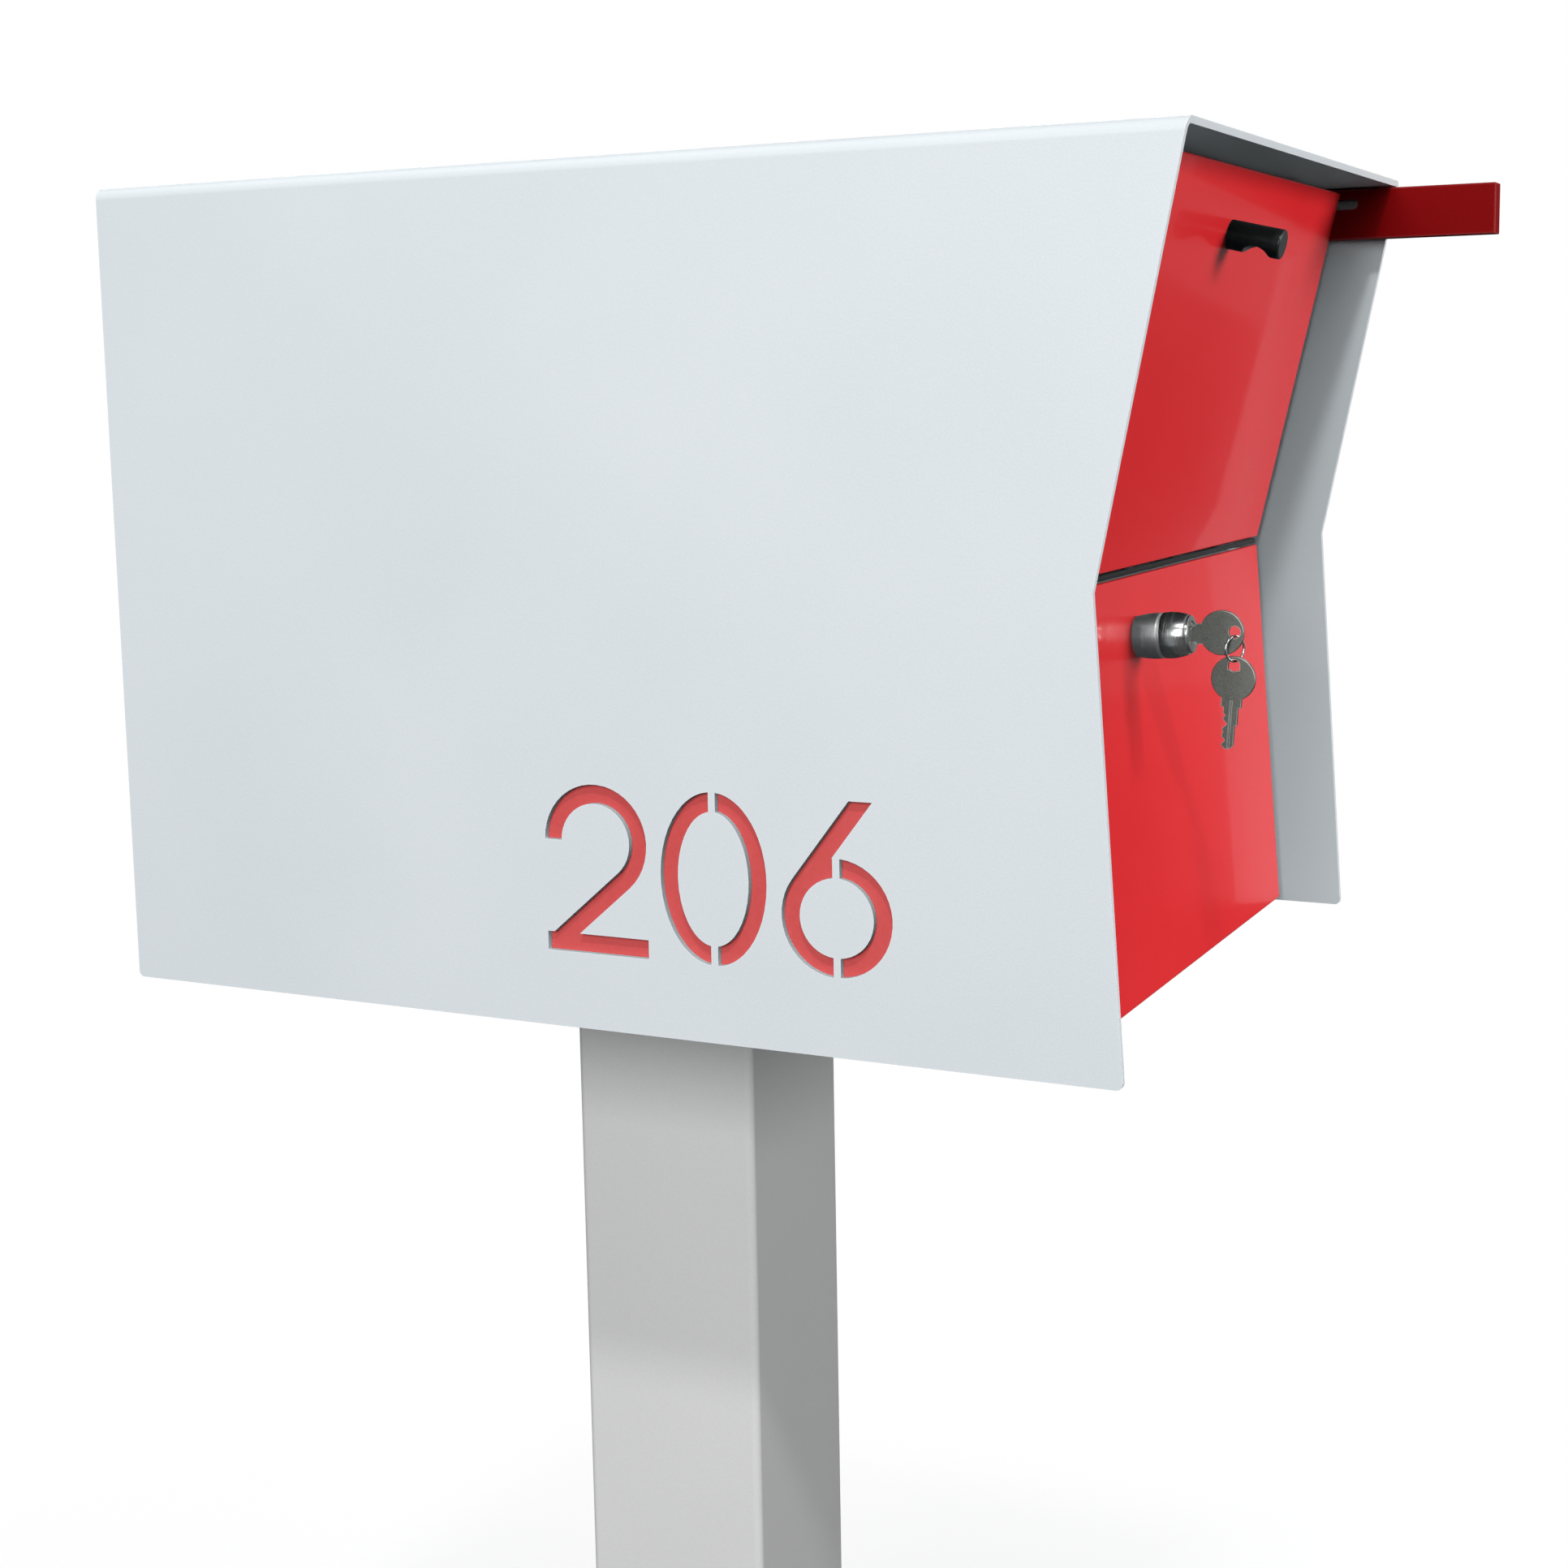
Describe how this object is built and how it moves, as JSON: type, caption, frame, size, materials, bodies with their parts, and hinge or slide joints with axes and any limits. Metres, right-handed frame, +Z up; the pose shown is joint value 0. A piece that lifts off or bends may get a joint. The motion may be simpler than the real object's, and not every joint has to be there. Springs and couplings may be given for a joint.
{
  "type": "kerbside mailbox",
  "caption": "Locking kerbside mailbox on a square post: folded sheet housing, bottom-hinged mail door, locked collection door, sliding signal flag and stencilled numerals.",
  "frame": {"origin": "centre of the base plate's underside, where the post stands on the ground", "axes": "+Z up the post; the doors face -Y; the numerals are on the -X side panel and the flag is inside the +X side panel"},
  "size_m": [0.38, 0.5875, 1.278],
  "materials": {
    "shell_paint": "fine satin powder coat, pale blue white",
    "post_paint": "satin powder coat, light grey",
    "inner_paint": "satin powder coat, grey",
    "door_paint": "glossy red paint",
    "flag_paint": "glossy dark red paint",
    "hinge_black": "black oxide",
    "zinc_steel": "zinc plated",
    "nylon": "natural nylon",
    "seal_rubber": "closed-cell rubber",
    "magnet_case": "black moulded case",
    "knob_black": "black, soft gloss",
    "lock_satin": "satin nickel",
    "lock_polish": "polished nickel",
    "key_nickel": "nickel plated, worn",
    "ring_wire": "bright spring wire"
  },
  "bodies": {
    "housing": {"base_plate": "post_paint", "post_tube": "post_paint", "head_plate": "post_paint", "mount_washers": "zinc_steel", "mount_bolts": "zinc_steel", "mount_nuts": "zinc_steel", "outer_shell": "shell_paint", "floor_pan": "shell_paint", "back_panel": "shell_paint", "door_frame": "inner_paint", "waist_rail": "inner_paint", "mail_shelf": "inner_paint", "drop_baffle": "inner_paint", "number_backer": "door_paint", "backer_studs": "zinc_steel", "backer_nuts": "zinc_steel", "door_seal": "seal_rubber", "catch_magnets": "magnet_case", "upper_hinge_fixed_leaf": "hinge_black", "upper_hinge_pin": "hinge_black", "upper_hinge_fixed_rivets": "hinge_black", "lower_hinge_fixed_leaf": "hinge_black", "lower_hinge_pin": "hinge_black", "lower_hinge_rivets": "hinge_black", "flag_studs": "zinc_steel", "flag_washers": "nylon", "flag_lock_nuts": "zinc_steel"},
    "upper_door": {"upper_door_panel": "door_paint", "upper_hinge_moving_leaf": "hinge_black", "upper_hinge_moving_rivets": "hinge_black", "catch_strikes": "zinc_steel", "pull_knob": "knob_black", "knob_screw": "zinc_steel"},
    "lower_door": {"lower_door_panel": "door_paint", "lower_hinge_moving_leaf": "hinge_black", "lock_collar": "lock_satin", "lock_barrel": "lock_polish", "lock_nut": "zinc_steel"},
    "lock_plug": {"lock_plug": "lock_polish", "cam_latch": "zinc_steel", "cam_screw": "zinc_steel", "key_in_lock": "key_nickel"},
    "key_ring": {"key_ring": "ring_wire"},
    "spare_key": {"spare_key": "key_nickel"},
    "flag": {"flag_bar": "flag_paint"}
  },
  "joints": [
    {"name": "upper_door_hinge", "type": "hinge", "parent": "housing", "child": "upper_door", "pos_m": [0, -0.248, 1.0925], "axis": [1, 0, 0], "range_deg": [0, 75]},
    {"name": "lower_door_hinge", "type": "hinge", "parent": "housing", "child": "lower_door", "pos_m": [0, -0.25895, 0.89945], "axis": [1, 0, 0], "range_deg": [0, 90]},
    {"name": "lock_turn", "type": "hinge", "parent": "lower_door", "child": "lock_plug", "pos_m": [-0.042, -0.25029, 1.062], "axis": [0, -0.9972, 0.075], "range_deg": [0, 90]},
    {"name": "ring_swing", "type": "hinge", "parent": "lock_plug", "child": "key_ring", "pos_m": [-0.042, -0.29577, 1.06357], "axis": [1, 0, 0], "range_deg": [-10, 3]},
    {"name": "spare_key_swing", "type": "hinge", "parent": "key_ring", "child": "spare_key", "pos_m": [-0.042, -0.29577, 1.05217], "axis": [1, 0, 0], "range_deg": [-12, 6]},
    {"name": "flag_slide", "type": "slide", "parent": "housing", "child": "flag", "axis": [0, 1, 0], "range_m": [0, 0.05]}
  ]
}
